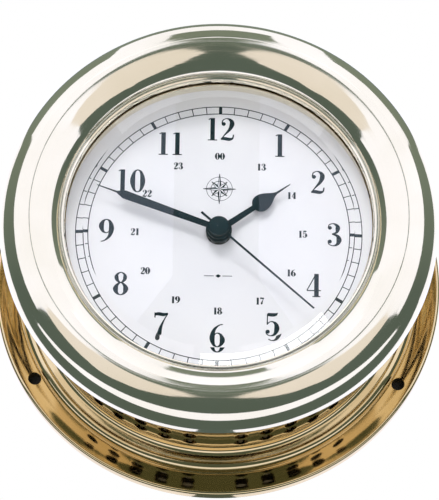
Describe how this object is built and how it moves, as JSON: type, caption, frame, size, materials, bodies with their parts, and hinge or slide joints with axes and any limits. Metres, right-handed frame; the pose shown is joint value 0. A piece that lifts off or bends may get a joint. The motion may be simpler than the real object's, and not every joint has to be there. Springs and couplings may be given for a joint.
{
  "type": "ship's deck clock",
  "caption": "Round wall-mounted ship's clock: dished flange, vented drum, screw-on bezel with bevelled glass, white dial, spade hour and baton minute hands over a geared quartz movement.",
  "frame": {"origin": "centre of the flange's back face, on the wall plane", "axes": "-Y out of the dial towards the viewer, +Y into the wall, +Z towards 12 o'clock, +X towards 3 o'clock"},
  "size_m": [0.184, 0.0801, 0.184],
  "materials": {
    "case_brass": "polished and lacquered brass, mirror bright",
    "bezel_brass": "polished and lacquered brass, mirror bright",
    "ring_brass": "turned brass",
    "reflector_brass": "polished brass",
    "bush_brass": "turned brass",
    "tube_brass": "turned brass",
    "crystal_glass": "clear bevelled glass",
    "gasket_rubber": "black rubber",
    "seal_rubber": "black rubber",
    "washer_rubber": "black rubber",
    "dial_enamel": "satin white enamel with dark print",
    "steel_screws": "plated steel",
    "steel_pins": "bright steel",
    "contact_steel": "nickel-plated spring steel",
    "can_steel": "nickel-plated can",
    "stator_steel": "bare soft iron sheet",
    "hand_paint": "dark blue-black semi-gloss paint",
    "cap_paint": "dark blue-black semi-gloss paint",
    "nut_black": "blackened brass nut",
    "cover_paint": "matte black paint on pressed steel",
    "housing_plastic": "black moulded plastic",
    "knob_plastic": "white moulded plastic",
    "gear_plastic": "white acetal",
    "bobbin_plastic": "natural nylon",
    "battery_jacket": null,
    "board_green": "green circuit board",
    "chip_black": "black resin blob",
    "copper_wire": "enamelled copper wire",
    "magnet": "sintered magnet"
  },
  "bodies": {
    "case": {"wall_flange": "case_brass", "case_drum": "case_brass", "dial_seat": "ring_brass", "dust_cover": "cover_paint", "dial_plate": "dial_enamel", "reflector_ring": "reflector_brass", "dial_screws": "steel_screws", "movement_rear_cover": "housing_plastic", "movement_front_plate": "housing_plastic", "movement_screws": "steel_screws", "threaded_bush": "bush_brass", "rubber_washer": "washer_rubber", "nut_washer": "nut_black", "mounting_nut": "nut_black", "wheel_pins": "steel_pins", "battery_contact_positive": "contact_steel", "battery_contact_negative": "contact_steel", "circuit_board": "board_green", "driver_chip": "chip_black", "quartz_can": "can_steel", "stator": "stator_steel", "coil_core": "stator_steel", "coil_bobbin": "bobbin_plastic", "coil_winding": "copper_wire"},
    "bezel": {"bezel": "bezel_brass", "crystal": "crystal_glass", "crystal_gasket": "gasket_rubber", "crystal_retaining_ring": "ring_brass"},
    "seal": {"bezel_seal": "seal_rubber"},
    "hours": {"hour_hand": "hand_paint", "hour_wheel": "gear_plastic"},
    "minutes": {"minute_hand": "hand_paint", "minute_tube": "tube_brass", "clutch_spring": "contact_steel"},
    "seconds": {"second_hand": "hand_paint", "hub_cap": "cap_paint", "seconds_wheel": "gear_plastic", "seconds_arbor": "steel_pins"},
    "battery": {"battery": "battery_jacket"},
    "rotor": {"rotor_magnet": "magnet", "rotor_pinion": "gear_plastic"},
    "intermediate": {"intermediate_wheel": "gear_plastic"},
    "third": {"third_wheel": "gear_plastic"},
    "centre": {"centre_wheel": "gear_plastic"},
    "minute_gear": {"minute_wheel": "gear_plastic"},
    "setting_knob": {"setting_knob": "knob_plastic"}
  },
  "joints": [
    {"name": "bezel_travel", "type": "slide", "parent": "case", "child": "seal", "axis": [0, -1, 0], "range_m": [0, 0.006]},
    {"name": "bezel_turn", "type": "hinge", "parent": "seal", "child": "bezel", "pos_m": [0, -0.065, 0], "axis": [0, -1, 0], "range_deg": [0, 1080]},
    {"name": "seconds_spin", "type": "hinge", "parent": "case", "child": "seconds", "pos_m": [0, -0.042, 0], "axis": [0, 1, 0], "continuous": true},
    {"name": "rotor_spin", "type": "hinge", "parent": "case", "child": "rotor", "pos_m": [0.01766, -0.045, 0.00809], "axis": [0, 1, 0], "continuous": true},
    {"name": "intermediate_spin", "type": "hinge", "parent": "case", "child": "intermediate", "pos_m": [0.00987, -0.0425, 0.00359], "axis": [0, 1, 0], "continuous": true},
    {"name": "third_spin", "type": "hinge", "parent": "case", "child": "third", "pos_m": [-0.00865, -0.0445, 0.00865], "axis": [0, 1, 0], "continuous": true},
    {"name": "centre_spin", "type": "hinge", "parent": "case", "child": "centre", "pos_m": [0, -0.0465, 0], "axis": [0, 1, 0], "continuous": true},
    {"name": "minute_spin", "type": "hinge", "parent": "case", "child": "minutes", "pos_m": [0, -0.055, 0], "axis": [0, 1, 0], "continuous": true},
    {"name": "hour_spin", "type": "hinge", "parent": "case", "child": "hours", "pos_m": [0, -0.056, 0], "axis": [0, 1, 0], "continuous": true},
    {"name": "minute_gear_spin", "type": "hinge", "parent": "case", "child": "minute_gear", "pos_m": [0.00375, -0.0505, 0.0065], "axis": [0, 1, 0], "continuous": true},
    {"name": "knob_turn", "type": "hinge", "parent": "case", "child": "setting_knob", "pos_m": [0.00505, -0.042, 0.01388], "axis": [0, 1, 0], "continuous": true},
    {"name": "battery_removal", "type": "slide", "parent": "case", "child": "battery", "axis": [0, 1, 0], "range_m": [0, 0.018]}
  ],
  "couplings": [
    {"joint": "bezel_travel", "follows": "bezel_turn", "m_per_rad": 0.00031831},
    {"joint": "intermediate_spin", "follows": "seconds_spin", "ratio": -6},
    {"joint": "rotor_spin", "follows": "seconds_spin", "ratio": 30},
    {"joint": "third_spin", "follows": "seconds_spin", "ratio": -0.125},
    {"joint": "centre_spin", "follows": "seconds_spin", "ratio": 0.016667},
    {"joint": "hour_spin", "follows": "minute_spin", "ratio": 0.083333},
    {"joint": "minute_gear_spin", "follows": "minute_spin", "ratio": -0.33333},
    {"joint": "knob_turn", "follows": "minute_spin", "ratio": 1}
  ]
}
